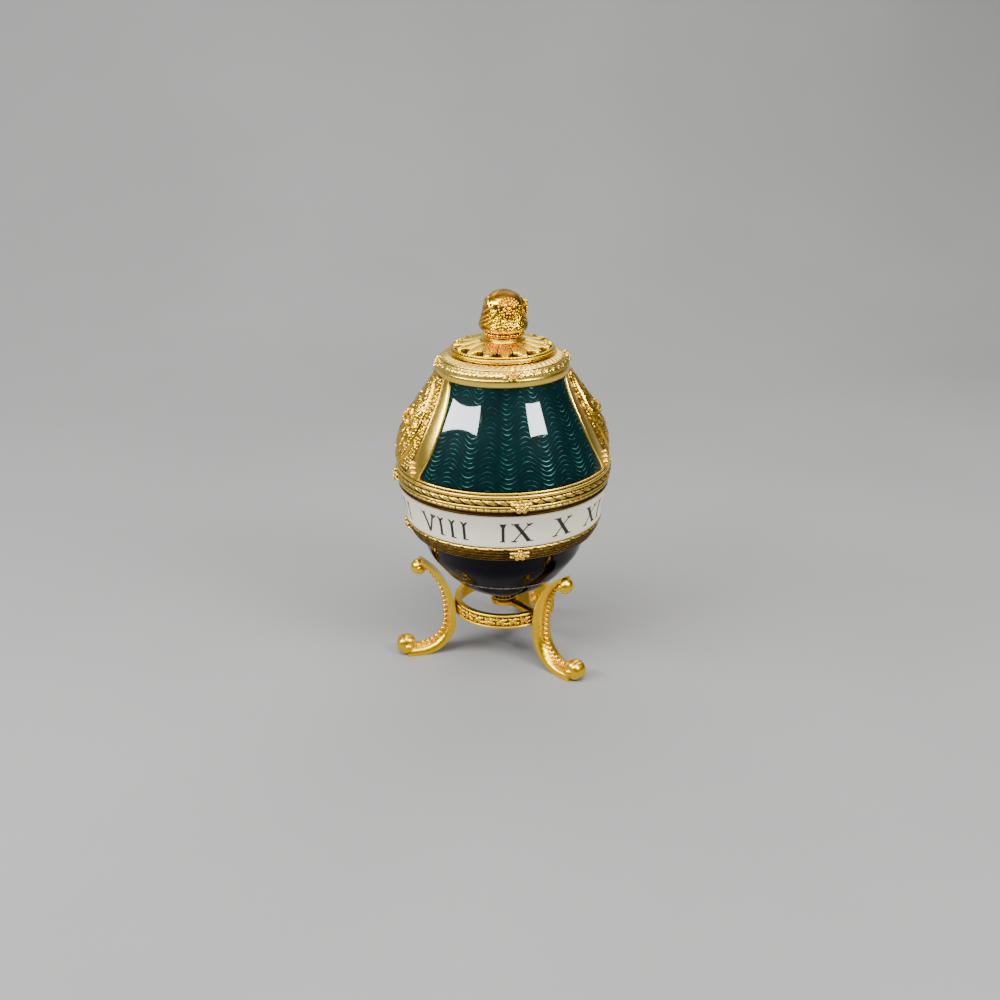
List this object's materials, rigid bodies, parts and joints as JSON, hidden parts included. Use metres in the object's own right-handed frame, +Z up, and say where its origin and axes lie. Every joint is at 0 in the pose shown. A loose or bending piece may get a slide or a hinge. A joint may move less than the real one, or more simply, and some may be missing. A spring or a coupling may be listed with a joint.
{
  "type": "enamel egg clock on a scroll-legged stand",
  "caption": "Egg-shaped clock with green enamel panels, gilt mouldings, an ivory hour band and a crown finial, on a stand of scroll legs.",
  "frame": {"origin": "on the egg's vertical axis, on the surface that the feet stand on", "axes": "+Z up, front enamel panel faces -Y, the relief medallions face -X and +X"},
  "size_m": [0.0659, 0.0654, 0.1086],
  "materials": {
    "gilt": "polished",
    "pale_gilt": "satin",
    "green_enamel": "gloss",
    "dark_enamel": "gloss",
    "ivory_enamel": "satin"
  },
  "bodies": {
    "root": {"stand_ring": "gilt", "stand_leg_right": "gilt", "stand_leg_left": "gilt", "stand_leg_back": "gilt", "seat_boss": "gilt", "lower_shell": "dark_enamel", "lower_ring": "pale_gilt", "numeral_band": "ivory_enamel", "equator_ring": "pale_gilt", "upper_frame": "pale_gilt", "enamel_panel_front": "green_enamel", "enamel_panel_back": "green_enamel", "medallion_left": "pale_gilt", "medallion_right": "pale_gilt", "lid": "gilt", "finial": "gilt"}
  },
  "joints": []
}
